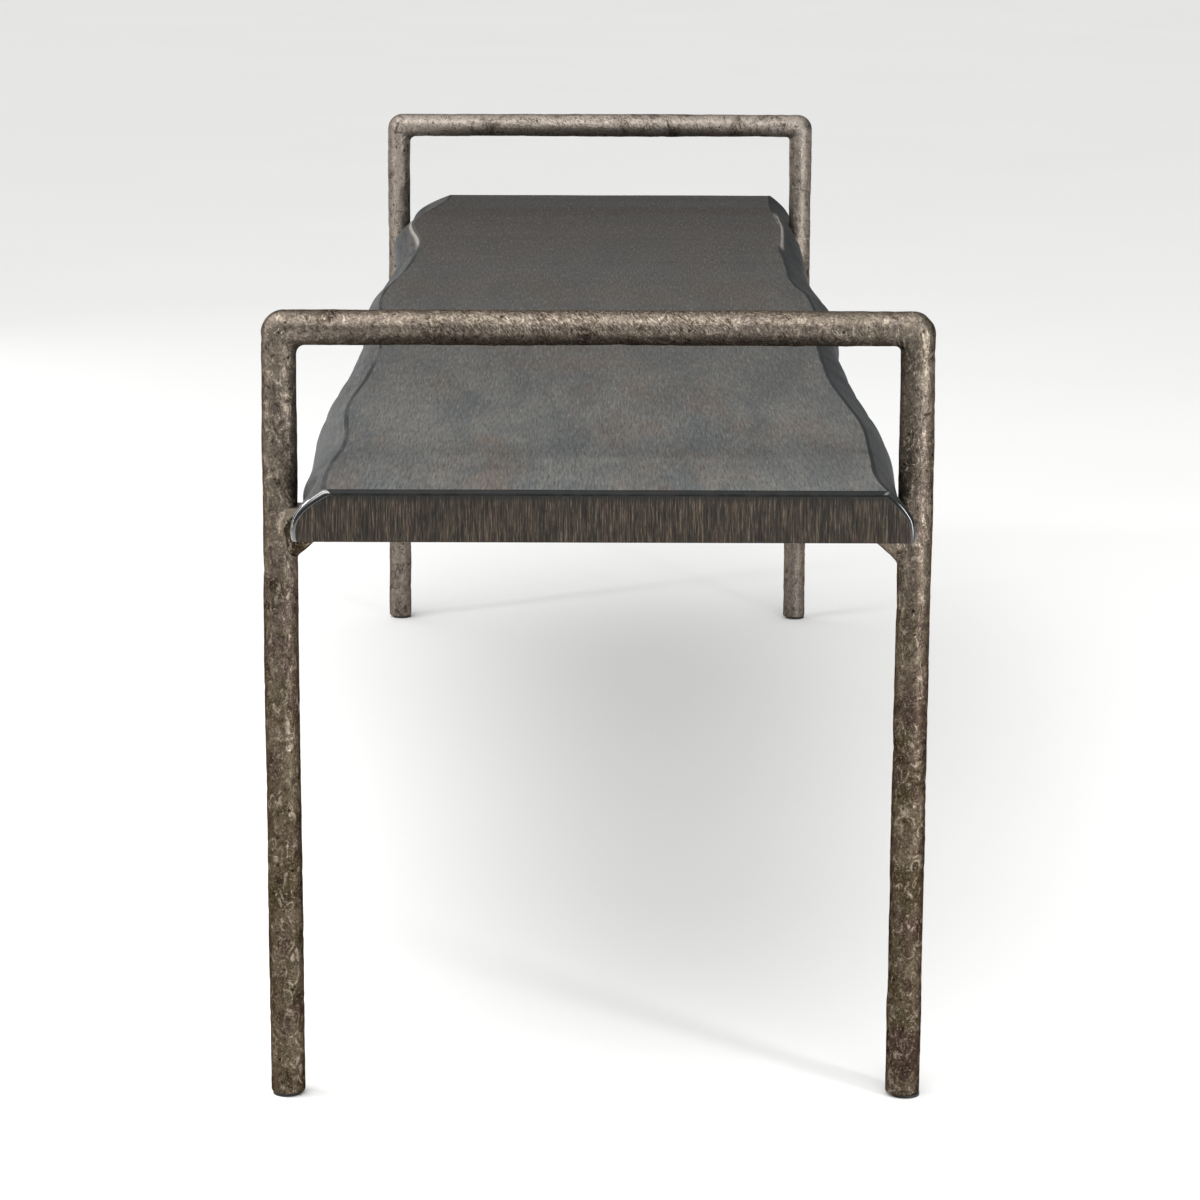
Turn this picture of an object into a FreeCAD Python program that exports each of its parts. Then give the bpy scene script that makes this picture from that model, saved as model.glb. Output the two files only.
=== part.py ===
"""Entryway bench: a live-edge wooden seat slab held between two uneven cast-metal hoops.

Own frame, in millimetres: +X along the bench, +Y to the back, +Z up, origin on the floor
under the middle of the bench.
"""
import FreeCAD
import Part
import math
import os

V = FreeCAD.Vector

# ---- slab --------------------------------------------------------------------------------
SEAT_LENGTH = 1829.0
SEAT_TOP = 457.5          # height of the sitting face
SEAT_THICK = 34.5
WIDEST_ABOVE_BASE = 5.0   # height of the widest line above the slab's underside
BASE_TUCK = 0.9           # share of the swell left at the underside
SWELL_POWER = 2.0         # how early the side swells as it falls from the top edge
SWELL_STEPS = 4
LEG_CLEARANCE = 0.6       # the slab is scribed round the legs with this much room

# Live edges. Each row is a crest, a hollow or a turn between two of them: how far along
# the bench it is, then how far the top edge and the widest line stand from the middle.
FRONT_EDGE = [
    (-SEAT_LENGTH / 2, 168, 208),
    (-765, 182, 212),
    (-655, 197, 215),
    (-500, 184, 208),
    (-350, 180, 203),
    (-185, 188, 213),
    (-35, 197, 212),
    (120, 186, 204),
    (270, 180, 205),
    (435, 181, 208),
    (580, 187, 209),
    (740, 179, 203),
    (860, 184, 204),
    (SEAT_LENGTH / 2, 180, 203),
]
BACK_EDGE = [
    (-SEAT_LENGTH / 2, 193, 214),
    (-765, 189, 211),
    (-620, 190, 211),
    (-425, 181, 206),
    (-260, 180, 204),
    (-165, 181, 209),
    (-35, 191, 213),
    (205, 183, 203),
    (360, 180, 206),
    (490, 182, 210),
    (645, 192, 213),
    (765, 188, 207),
    (SEAT_LENGTH / 2, 192, 209),
]

# ---- hoops -------------------------------------------------------------------------------
HOOP_SPACING = 1572.0     # middle of one hoop to middle of the other, along X
LEG_SPACING = 437.4       # leg axis to leg axis, along Y
HOOP_HEIGHT = 559.0       # floor to the top of the rail
ROD_R = 12.0              # nominal radius of the cast rod
ROD_UNEVEN = 0.5          # how far the cast radius wanders from nominal
LEG_PITCH = 62.0          # distance between the swells along a leg
NECK_PITCH = 22.0         # the same between seat and rail
FOOT_EDGE = 2.0           # rounding at the foot of a leg
GRIP_MARGIN = 5.0         # the rod is true for this far above the slab and below the knee

# ---- what carries the slab ---------------------------------------------------------------
BAR_WIDTH = 22.0          # along X
BAR_THICK = 6.0
BAR_END = 2.0             # from a leg's axis to the end of the bar, coped round the leg
KNEE_DROP = 29.0          # depth of a knee bracket below the bar
KNEE_REACH = 33.0         # how far a knee reaches inwards from the face of its leg
KNEE_TIP = 2.5            # thickness of the knee's inner end
KNEE_BULGE = 2.0          # how far the sloping underside stands proud of a straight line

# ---- fastenings and feet -----------------------------------------------------------------
SCREW_YS = (-150.0, -52.0, 52.0, 150.0)
SCREW_R = 2.9
SCREW_HEAD_R = 6.0
SCREW_HEAD_H = 3.6
SCREW_SHORT_OF_INSERT = 1.0
SOCKET_ACROSS = 4.0       # hexagon socket in the screw head, across flats
SOCKET_DEEP = 2.2
SCREW_HOLE_R = 3.3
WASHER_R = 8.0
WASHER_THICK = 1.5
INSERT_R = 5.0
INSERT_BORE_R = 3.0
INSERT_LENGTH = 14.0
INSERT_POCKET = 15.0
GLIDE_R = 10.0
GLIDE_THICK = 2.0
STEM_R = 3.0
STEM_LENGTH = 13.0
STEM_HOLE = 14.0

# ---- derived places ----------------------------------------------------------------------
SEAT_BASE = SEAT_TOP - SEAT_THICK
RAIL_Z = HOOP_HEIGHT - ROD_R
LEG_Y = LEG_SPACING / 2
LEG_FACE = LEG_Y - ROD_R
HOOP_X = HOOP_SPACING / 2
BAR_BASE = SEAT_BASE - BAR_THICK
KNEE_BASE = BAR_BASE - KNEE_DROP
WASHER_BASE = BAR_BASE - WASHER_THICK
HOOPS = {"right": HOOP_X, "left": -HOOP_X}
SIDES = {"front": -1, "back": 1}
CUT_OVER = 1.0            # how far a cutting tool runs past the face it cuts
DIAGONAL = math.sqrt(0.5)


# ---- helpers -----------------------------------------------------------------------------
def cylinder(x, y, z, radius, height):
    return Part.makeCylinder(radius, height, V(x, y, z))


def drill(x, y, z, radius, depth):
    """A cutter that opens at height z and goes up by depth."""
    return cylinder(x, y, z - CUT_OVER, radius, depth + CUT_OVER)


def ring(x, y, z, outer_r, inner_r, height):
    through = cylinder(x, y, z - CUT_OVER, inner_r, height + 2 * CUT_OVER)
    return cylinder(x, y, z, outer_r, height).cut(through)


def spline(points):
    curve = Part.BSplineCurve()
    curve.interpolate(points)
    return curve.toShape()


def half_space(point, normal):
    """A large block whose near face passes through point and which lies towards normal."""
    size = HOOP_HEIGHT
    block = Part.makeBox(size, size, size, V(-size / 2, -size / 2, 0))
    block.Placement = FreeCAD.Placement(V(*point), FreeCAD.Rotation(V(0, 0, 1), V(*normal)))
    return block


def spun(outline):
    """The solid swept by a closed outline turned about the Z axis."""
    return Part.Face(outline).revolve(V(0, 0, 0), V(0, 0, 1), 360)


# ---- seat --------------------------------------------------------------------------------
def live_edge(rows, side, share, z):
    """One edge of the slab at height z: share 0 is the top edge, 1 the widest line."""
    return spline([V(x, side * (top + (widest - top) * share), z) for x, top, widest in rows])


def seat_outline(share, z):
    """The closed outline of the slab at height z."""
    front = live_edge(FRONT_EDGE, SIDES["front"], share, z)
    back = live_edge(BACK_EDGE, SIDES["back"], share, z)
    left_front, right_front = [front.valueAt(t) for t in front.ParameterRange]
    left_back, right_back = [back.valueAt(t) for t in back.ParameterRange]
    right_end = Part.makeLine(right_front, right_back)
    left_end = Part.makeLine(left_back, left_front)
    return Part.Wire([front, right_end, back, left_end])


def seat_blank():
    """The slab before it is notched: outlines that swell from the top edge downwards."""
    widest_z = SEAT_BASE + WIDEST_ABOVE_BASE
    outlines = []
    for step in range(SWELL_STEPS + 1):
        fall = step / SWELL_STEPS
        share = 1 - (1 - fall) ** SWELL_POWER
        outlines.append(seat_outline(share, SEAT_TOP - (SEAT_TOP - widest_z) * fall))
    outlines.append(seat_outline(BASE_TUCK, SEAT_BASE))
    return Part.makeLoft(outlines, True, True)


def seat_slab():
    """The slab, scribed round the four legs and drilled for the threaded inserts."""
    slab = seat_blank()
    notch_base = SEAT_BASE - CUT_OVER
    notch_height = SEAT_THICK + 2 * CUT_OVER
    for hoop_x in HOOPS.values():
        for y in SCREW_YS:
            slab = slab.cut(drill(hoop_x, y, SEAT_BASE, INSERT_R, INSERT_POCKET))
        for side in SIDES.values():
            notch_r = ROD_R + LEG_CLEARANCE
            slab = slab.cut(cylinder(hoop_x, side * LEG_Y, notch_base, notch_r, notch_height))
    return slab


# ---- hoops -------------------------------------------------------------------------------
def uneven_side(start, end, phase, pitch):
    """The side of a cast rod from start to end: nominal at both, wandering between."""
    count = max(2, round((end - start) / pitch))
    points = [V(ROD_R, 0, start)]
    for i in range(1, count):
        wander = math.sin(phase + 2.4 * i)
        points.append(V(ROD_R + ROD_UNEVEN * wander, 0, start + (end - start) * i / count))
    points.append(V(ROD_R, 0, end))
    return spline(points)


def round_end(z, towards):
    """A quarter circle from the rod's side at height z to its axis, above or below."""
    middle = V(ROD_R * DIAGONAL, 0, z + towards * ROD_R * DIAGONAL)
    return Part.Arc(V(ROD_R, 0, z), middle, V(0, 0, z + towards * ROD_R)).toShape()


def leg(hoop_x, side, phase):
    """An upright rod from its glide to the mitre under the rail."""
    foot = GLIDE_THICK
    flat_r = ROD_R - FOOT_EDGE
    edge_middle = V(flat_r + FOOT_EDGE * DIAGONAL, 0, foot + FOOT_EDGE * (1 - DIAGONAL))
    foot_edge = Part.Arc(V(flat_r, 0, foot), edge_middle, V(ROD_R, 0, foot + FOOT_EDGE))
    grip_low = KNEE_BASE - GRIP_MARGIN
    grip_high = SEAT_TOP + GRIP_MARGIN
    outline = Part.Wire([
        Part.makeLine(V(0, 0, foot), V(flat_r, 0, foot)),
        foot_edge.toShape(),
        uneven_side(foot + FOOT_EDGE, grip_low, phase, LEG_PITCH),
        Part.makeLine(V(ROD_R, 0, grip_low), V(ROD_R, 0, grip_high)),
        uneven_side(grip_high, RAIL_Z - ROD_R, phase + 1, NECK_PITCH),
        Part.makeLine(V(ROD_R, 0, RAIL_Z - ROD_R), V(ROD_R, 0, RAIL_Z)),
        round_end(RAIL_Z, 1),
        Part.makeLine(V(0, 0, RAIL_Z + ROD_R), V(0, 0, foot)),
    ])
    rod = spun(outline)
    rod.translate(V(hoop_x, side * LEG_Y, 0))
    rod = rod.cut(half_space((hoop_x, side * LEG_Y, RAIL_Z), (0, -side, 1)))
    return rod.cut(drill(hoop_x, side * LEG_Y, foot, STEM_R, STEM_HOLE))


def top_rail(hoop_x, phase):
    """The rail across the top of a hoop, mitred into both legs."""
    straight = LEG_Y - ROD_R
    outline = Part.Wire([
        round_end(-LEG_Y, -1),
        Part.makeLine(V(ROD_R, 0, -LEG_Y), V(ROD_R, 0, -straight)),
        uneven_side(-straight, straight, phase, LEG_PITCH),
        Part.makeLine(V(ROD_R, 0, straight), V(ROD_R, 0, LEG_Y)),
        round_end(LEG_Y, 1),
        Part.makeLine(V(0, 0, LEG_Y + ROD_R), V(0, 0, -LEG_Y - ROD_R)),
    ])
    rod = spun(outline)
    rod.rotate(V(0, 0, 0), V(1, 0, 0), -90)
    rod.translate(V(hoop_x, 0, RAIL_Z))
    for side in SIDES.values():
        rod = rod.cut(half_space((hoop_x, side * LEG_Y, RAIL_Z), (0, side, -1)))
    return rod


# ---- what carries the slab ---------------------------------------------------------------
def coped(piece, hoop_x, side, base, height):
    """The piece with the way of one leg cut out of it."""
    return piece.cut(cylinder(hoop_x, side * LEG_Y, base - CUT_OVER, ROD_R, height + 2 * CUT_OVER))


def seat_bar(hoop_x):
    """The flat bar that carries the slab, coped round both legs and drilled for screws."""
    half = LEG_Y - BAR_END
    corner = V(hoop_x - BAR_WIDTH / 2, -half, BAR_BASE)
    bar = Part.makeBox(BAR_WIDTH, 2 * half, BAR_THICK, corner)
    for side in SIDES.values():
        bar = coped(bar, hoop_x, side, BAR_BASE, BAR_THICK)
    for y in SCREW_YS:
        bar = bar.cut(drill(hoop_x, y, BAR_BASE, SCREW_HOLE_R, BAR_THICK + CUT_OVER))
    return bar


def knee(hoop_x, side):
    """A cast bracket in the corner between a leg and the bar."""
    inner = LEG_FACE - KNEE_REACH
    outer = LEG_Y - BAR_END
    low = V(0, side * LEG_FACE, KNEE_BASE)
    tip = V(0, side * inner, BAR_BASE - KNEE_TIP)
    middle = (low + tip) * 0.5
    middle += V(0, -side, -1) * (KNEE_BULGE * DIAGONAL)
    outline = Part.Wire([
        Part.makeLine(V(0, side * inner, BAR_BASE), V(0, side * outer, BAR_BASE)),
        Part.makeLine(V(0, side * outer, BAR_BASE), V(0, side * outer, KNEE_BASE)),
        Part.makeLine(V(0, side * outer, KNEE_BASE), low),
        Part.Arc(low, middle, tip).toShape(),
        Part.makeLine(tip, V(0, side * inner, BAR_BASE)),
    ])
    block = Part.Face(outline).extrude(V(BAR_WIDTH, 0, 0))
    block.translate(V(hoop_x - BAR_WIDTH / 2, 0, 0))
    return coped(block, hoop_x, side, KNEE_BASE, KNEE_DROP)


# ---- fastenings and feet -----------------------------------------------------------------
def hexagon_prism(x, y, z, across, height):
    corner_r = across / math.sqrt(3)
    corners = []
    for k in range(7):
        angle = math.radians(60 * k)
        corners.append(V(x + corner_r * math.cos(angle), y + corner_r * math.sin(angle), z))
    return Part.Face(Part.makePolygon(corners)).extrude(V(0, 0, height))


def screw(x, y):
    """A socket screw with its head under the washer and its shank up in the insert."""
    head_base = WASHER_BASE - SCREW_HEAD_H
    shank_top = SEAT_BASE + INSERT_LENGTH - SCREW_SHORT_OF_INSERT
    head = cylinder(x, y, head_base, SCREW_HEAD_R, SCREW_HEAD_H)
    shank = cylinder(x, y, WASHER_BASE, SCREW_R, shank_top - WASHER_BASE)
    socket = hexagon_prism(x, y, head_base, SOCKET_ACROSS, SOCKET_DEEP)
    return head.fuse(shank).removeSplitter().cut(socket)


def washer(x, y):
    return ring(x, y, WASHER_BASE, WASHER_R, SCREW_HOLE_R, WASHER_THICK)


def insert(x, y):
    return ring(x, y, SEAT_BASE, INSERT_R, INSERT_BORE_R, INSERT_LENGTH)


def row_of(make, hoop_x):
    """One fastening at each screw place of a hoop, as separate solids in one group."""
    return Part.makeCompound([make(hoop_x, y) for y in SCREW_YS])


def glide(hoop_x, side):
    """The disc under a leg, with its stem pressed up into the rod."""
    disc = cylinder(hoop_x, side * LEG_Y, 0, GLIDE_R, GLIDE_THICK)
    stem = cylinder(hoop_x, side * LEG_Y, GLIDE_THICK, STEM_R, STEM_LENGTH)
    return disc.fuse(stem).removeSplitter()


# ---- build -------------------------------------------------------------------------------
def build():
    parts = {"seat_slab": seat_slab()}
    for end, (hoop, hoop_x) in enumerate(HOOPS.items()):
        parts[hoop + "_top_rail"] = top_rail(hoop_x, 0.6 + 2.1 * end)
        parts[hoop + "_seat_bar"] = seat_bar(hoop_x)
        parts[hoop + "_seat_screws"] = row_of(screw, hoop_x)
        parts[hoop + "_seat_washers"] = row_of(washer, hoop_x)
        parts[hoop + "_seat_inserts"] = row_of(insert, hoop_x)
        for name, side in SIDES.items():
            phase = 1.3 * side + 2.9 * end
            parts[hoop + "_" + name + "_leg"] = leg(hoop_x, side, phase)
            parts[hoop + "_" + name + "_knee"] = knee(hoop_x, side)
            parts[hoop + "_" + name + "_glide"] = glide(hoop_x, side)
    return parts


def main():
    os.makedirs("parts", exist_ok=True)
    for name, shape in build().items():
        shape.exportStep(os.path.join("parts", name + ".step"))
        solids = len(shape.Solids)
        print(f"{name:22s} valid {shape.isValid()} solids {solids} volume {shape.Volume:.0f}")


main()
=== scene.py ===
"""Entryway bench: the looks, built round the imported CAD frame. Lengths are in metres.

The slab, the two hoops and the four knees are high-resolution meshes that replace their CAD
nodes. The bars, fastenings and glides keep their CAD shape and get materials.
"""
import bmesh
import bpy
import itertools
import math
import numpy as np
from mathutils import Euler, Matrix, Vector

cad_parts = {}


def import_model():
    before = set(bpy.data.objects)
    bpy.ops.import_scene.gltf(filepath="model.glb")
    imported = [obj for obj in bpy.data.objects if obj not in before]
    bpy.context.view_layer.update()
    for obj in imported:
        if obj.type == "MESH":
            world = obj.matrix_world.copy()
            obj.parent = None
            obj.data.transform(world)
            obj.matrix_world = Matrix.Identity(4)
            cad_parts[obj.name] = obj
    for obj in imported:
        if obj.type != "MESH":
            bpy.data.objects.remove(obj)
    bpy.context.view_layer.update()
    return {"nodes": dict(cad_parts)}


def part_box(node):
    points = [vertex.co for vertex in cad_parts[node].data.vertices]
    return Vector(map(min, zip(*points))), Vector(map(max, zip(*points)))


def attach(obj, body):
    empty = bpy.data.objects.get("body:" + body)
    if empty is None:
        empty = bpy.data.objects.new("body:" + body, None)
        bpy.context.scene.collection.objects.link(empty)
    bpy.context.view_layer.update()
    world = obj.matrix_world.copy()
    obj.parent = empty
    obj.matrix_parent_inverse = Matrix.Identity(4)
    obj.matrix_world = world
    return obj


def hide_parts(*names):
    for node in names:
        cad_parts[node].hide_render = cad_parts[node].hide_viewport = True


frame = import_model()

MM = 0.001
HOOPS = {"right": 1, "left": -1}
SIDES = {"front": -1, "back": 1}

# ---- sizes read from the frame -------------------------------------------------------------
seat_low, seat_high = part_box("seat_slab")
glide_low, glide_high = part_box("right_back_glide")
knee_low, knee_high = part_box("right_back_knee")

SEAT_TOP = seat_high.z
SEAT_BASE = seat_low.z
SEAT_END = seat_high.x
WIDEST_Z = SEAT_BASE + 5 * MM     # height at which the live edges stand out most
HOOP_X = (glide_low.x + glide_high.x) / 2
LEG_Y = (glide_low.y + glide_high.y) / 2
FOOT_Z = 2 * MM           # underside of the rod, on top of its glide
HOOP_HEIGHT = 559 * MM
ROD_R = 12 * MM
RAIL_Z = HOOP_HEIGHT - ROD_R
LEG_FACE = LEG_Y - ROD_R  # inner face of a leg

# ---- shape of the cast rod -----------------------------------------------------------------
OUTER_CORNER_R = 16 * MM
INNER_CORNER_R = {"front": 6.5 * MM, "back": 4 * MM}
FOOT_EDGE_R = 2 * MM
FOOT_EDGE_STEPS = 6
FOOT_CALM = 8 * MM        # the relief fades out over this height at the foot
HAMMERED_Y = 150 * MM     # the rail is hammered this far to each side of its middle
ROUND_COUNT = 60          # points round the rod
ROD_STEP = 1.6 * MM
CORNER_STEPS = 22         # sections in half a corner
LEAN_HEIGHT = 400 * MM    # each leg leans below this height
LEANS = {                 # how far the front and the back foot stand out of true
    "right": (0.6 * MM, -2.0 * MM),
    "left": (-1.4 * MM, -1.2 * MM),
}
HOOP_SEED = 100

# ---- shape of the knees --------------------------------------------------------------------
KNEE_SHARE = {"front": 0.75, "back": 1.0}              # how much of the CAD knee's reach it has
KNEE_FILLET = {"front": 1.5 * MM, "back": 7 * MM}      # where it runs into the leg
KNEE_BULGE = {"front": 0.12, "back": 0.05}             # how full its lower edge is
KNEE_TIP = 2.5 * MM       # thickness at the inner end
KNEE_RAISED = 1.5 * MM    # its foot on the leg is this much above the CAD knee's
KNEE_TAPER = 1.5 * MM     # narrowing of each half towards the tip
KNEE_SMOOTH_TOP = 1.5 * MM        # the relief starts this far below the top
KNEE_ROUGHENING = 4 * MM          # and reaches its full depth over this height
KNEE_SQUARE = (0.55, 0.42)        # how square its section is along X and Z; 1 is an ellipse
KNEE_SLICES_IN_LEG = 4
KNEE_SLICES = 32
KNEE_ROUND_COUNT = 40     # points round a slice
KNEE_SEED = 300

# ---- shape of the slab ---------------------------------------------------------------------
STATION_STEP = 4 * MM
ACROSS_COUNT = 72         # points across the top, and across the base
FLANK_COUNT = 18          # points down a live edge, above its widest line
END_ROUND = 3.5 * MM
END_ROUND_STEPS = 7
NOTCH_R = ROD_R + 0.6 * MM
LINE_NEAR = 0.05 * MM     # a CAD point this near a height lies on that edge line
LINE_FROM = 150 * MM      # both live edges lie farther than this from the middle
BESIDE_LEG = 16 * MM      # CAD points this near a leg, along X, belong to its notch
SMOOTH_LENGTH = 5         # mm along X over which the CAD's edge lines are smoothed
SMOOTH_HALF = 24          # mm that the smoothing looks to each side
CREASE_KINK = 2.2 * MM    # how far the top crease and the widest line stray from the CAD's
WIDEST_KINK = 1.8 * MM
FACET_DEPTH = 3.0 * MM    # relief of a live edge
TUCK_IN = (0.15, 0.5, 1.3)        # mm that a side tucks in below its widest line
TUCK_DOWN = (2.4, 4.1, 5.0)       # and how many mm below that line each of those is
TOP_RELIEF = 0.22 * MM
TOP_SEED = 41
FLANK_SEED = 20
PINCH_X = SEAT_END - 60 * MM      # where the front edge draws in behind the right end
PINCH_DEPTH = 8 * MM
PINCH_LENGTH = 40 * MM

# ---- light and camera ----------------------------------------------------------------------
WORLD_RISE = (0.30, 0.95, 0.07, 1.95)          # a direction's Z, low and high, and light at each
WORLD_SIDEWAYS = (-1.0, 1.0, 1.5, 0.5)         # the same for its Y
LIGHTS = {                # where it stands, what it aims at, its width and height, its power
    "key": ((2.0, -0.25, 2.4), (0.7, 0, 0.5), (3.0, 2.2), 60),
    "band_right": ((2.3, 1.75, 0.55), (0.78, 0, 0.35), (0.30, 1.5), 36),
    "rim_left": ((-2.5, -2.0, 0.75), (0.7, -0.2, 0.35), (1.4, 1.2), 8),
    "strip_left": ((0.9, -1.9, 1.45), (0.9, -0.2, 0.44), (0.25, 2.7), 17),
    "glint_left": ((0.25, -1.95, 1.79), (0.79, -0.22, 0.55), (0.3, 0.3), 13),
}
CAMERA_PLACE = (3.368, 0.0014, 0.912)
CAMERA_TILT = math.radians(10.33)
CAMERA_ROLL = math.radians(0.16)
CAMERA_LENS = 114.5
CAMERA_SHIFT = -0.1
FLOOR_HALF = 60.0         # half the floor's width


# ---- repeatable noise ----------------------------------------------------------------------
def lattice(seed, i, j, k):
    """A repeatable random number from -1 to 1 for each whole-number place."""
    mask = 0xFFFFFFFF
    h = (i * 374761393 + j * 668265263 + k * 1440662683 + seed * 974634777) & mask
    h = ((h ^ (h >> 13)) * 1274126177) & mask
    return ((h ^ (h >> 16)) & 0xFFFF) / 32767.5 - 1


def lumps(points, size, seed):
    """Smooth random lumps about as wide as size, from about -1 to 1."""
    q = points / size
    cell = np.floor(q).astype(np.int64)
    f = q - cell
    f = f * f * f * (f * (f * 6 - 15) + 10)
    total = np.zeros(points.shape[:-1])
    for corner in itertools.product((0, 1), repeat=3):
        weight = np.prod(np.where(corner, f, 1 - f), axis=-1)
        place = cell + np.array(corner)
        total += weight * lattice(seed, place[..., 0], place[..., 1], place[..., 2])
    return total


def dents(points, size, seed, share):
    """Round hollows in a share of the cells of a grid: 1 at a hollow's middle, 0 outside."""
    q = points / size
    cell = np.floor(q).astype(np.int64)
    deepest = np.zeros(points.shape[:-1])
    for step in itertools.product((-1, 0, 1), repeat=3):
        place = cell + np.array(step)
        i, j, k = place[..., 0], place[..., 1], place[..., 2]
        jitter = np.stack([lattice(seed + n, i, j, k) for n in range(3)], axis=-1)
        distance = np.linalg.norm(q - (place + 0.5 + 0.4 * jitter), axis=-1)
        chosen = lattice(seed + 3, i, j, k) < 2 * share - 1
        deepest = np.maximum(deepest, np.where(chosen, np.clip(1 - 2 * distance, 0, 1), 0))
    return deepest


# ---- mesh helpers --------------------------------------------------------------------------
def mesh_object(name, points, faces, materials, face_slots=None, normals=None):
    """A smooth mesh with all its faces turned outwards."""
    mesh = bpy.data.meshes.new(name)
    mesh.from_pydata([tuple(p) for p in points], [], faces)
    for material in materials:
        mesh.materials.append(material)
    if face_slots is not None:
        mesh.polygons.foreach_set("material_index", face_slots)
    mesh.polygons.foreach_set("use_smooth", [True] * len(mesh.polygons))
    outward = bmesh.new()
    outward.from_mesh(mesh)
    bmesh.ops.recalc_face_normals(outward, faces=outward.faces)
    outward.to_mesh(mesh)
    outward.free()
    if normals is not None:
        mesh.normals_split_custom_set_from_vertices([tuple(n) for n in normals])
    mesh.update()
    piece = bpy.data.objects.new(name, mesh)
    bpy.context.scene.collection.objects.link(piece)
    return piece


def tube_faces(rings, around):
    """Quads between rings of points, each ring closed on itself."""
    faces = []
    for ring in range(rings - 1):
        start, after = ring * around, (ring + 1) * around
        for a in range(around):
            b = (a + 1) % around
            faces.append((start + a, after + a, after + b, start + b))
    return faces


def tube_caps(rings, around):
    """Fans that close both ends of a tube, to two middle points added after the rings."""
    first, last = rings * around, rings * around + 1
    start = (rings - 1) * around
    faces = []
    for a in range(around):
        b = (a + 1) % around
        faces.append((first, a, b))
        faces.append((last, start + b, start + a))
    return faces


def grid_normals(grid):
    """Normals of a tube of points [ring, around, xyz], pointing outwards."""
    along = np.gradient(grid, axis=0)
    round_it = np.roll(grid, -1, axis=1) - np.roll(grid, 1, axis=1)
    normals = np.cross(along, round_it)
    normals /= np.linalg.norm(normals, axis=-1, keepdims=True) + 1e-12
    outward = grid - grid.mean(axis=1, keepdims=True)
    flip = np.sign((normals * outward).sum(axis=(-1, -2)))
    return normals * flip[:, None, None]


# ---- node helpers --------------------------------------------------------------------------
class Look:
    """One procedural material, with short names for the nodes it is made of."""

    def __init__(self, name):
        self.material = bpy.data.materials.new(name)
        self.material.use_nodes = True
        self.tree = self.material.node_tree
        self.shader = self.tree.nodes["Principled BSDF"]
        self.place = self.add("ShaderNodeTexCoord").outputs["Object"]

    def put(self, socket, value):
        """Links a socket to the value where that is a socket, and sets it where it isn't."""
        if isinstance(value, bpy.types.NodeSocket):
            self.tree.links.new(value, socket)
        else:
            socket.default_value = value

    def add(self, kind, inputs=None, **settings):
        node = self.tree.nodes.new(kind)
        for key, value in settings.items():
            setattr(node, key, value)
        for key, value in (inputs or {}).items():
            self.put(node.inputs[key], value)
        return node

    def set(self, **values):
        """Inputs of the material's own shader, with _ for a space in a name."""
        for key, value in values.items():
            self.put(self.shader.inputs[key.replace("_", " ")], value)

    def scaled(self, x, y, z):
        """The place in the object with each axis scaled: a high number makes fine detail."""
        return self.add("ShaderNodeMapping", {"Vector": self.place, "Scale": (x, y, z)}).outputs[0]

    def noise(self, vector, detail=3.0, rough=0.5, twist=0.0):
        inputs = {"Vector": vector, "Scale": 1.0, "Detail": detail, "Roughness": rough,
                  "Distortion": twist}
        return self.add("ShaderNodeTexNoise", inputs).outputs["Fac"]

    def cells(self, vector, scale):
        """How far it is to the middle of the nearest random cell."""
        inputs = {"Vector": vector, "Scale": scale}
        return self.add("ShaderNodeTexVoronoi", inputs).outputs["Distance"]

    def span(self, value, low, high, to_low=0.0, to_high=1.0):
        """value, stretched from low..high to to_low..to_high, with soft ends."""
        inputs = {"Value": value, "From Min": low, "From Max": high,
                  "To Min": to_low, "To Max": to_high}
        node = self.add("ShaderNodeMapRange", inputs, interpolation_type="SMOOTHSTEP")
        return node.outputs["Result"]

    def maths(self, operation, a, b=0.0):
        node = self.add("ShaderNodeMath", operation=operation)
        self.put(node.inputs[0], a)
        self.put(node.inputs[1], b)
        return node.outputs[0]

    def times(self, first, *others):
        """The product of two or more values."""
        for other in others:
            first = self.maths("MULTIPLY", first, other)
        return first

    def mix(self, share, a, b):
        """Colour a where share is 0, colour b where it is 1."""
        node = self.add("ShaderNodeMix", data_type="RGBA")
        self.put(node.inputs[0], share)
        self.put(node.inputs[6], a)
        self.put(node.inputs[7], b)
        return node.outputs[2]

    def axis(self, name):
        """The place along X, Y or Z, in metres."""
        return self.add("ShaderNodeSeparateXYZ", {"Vector": self.place}).outputs[name]

    def bump(self, height, depth, normal=None):
        """Relief of that depth in metres where height goes from 0 to 1."""
        inputs = {"Height": height, "Distance": depth, "Strength": 1.0}
        if normal is not None:
            inputs["Normal"] = normal
        return self.add("ShaderNodeBump", inputs).outputs["Normal"]


def rgb(red, green, blue):
    """A colour given as it looks on a screen, 0 to 255, as the shader's linear values."""
    return tuple(((c / 255 + 0.055) / 1.055) ** 2.4 for c in (red, green, blue)) + (1.0,)


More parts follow.
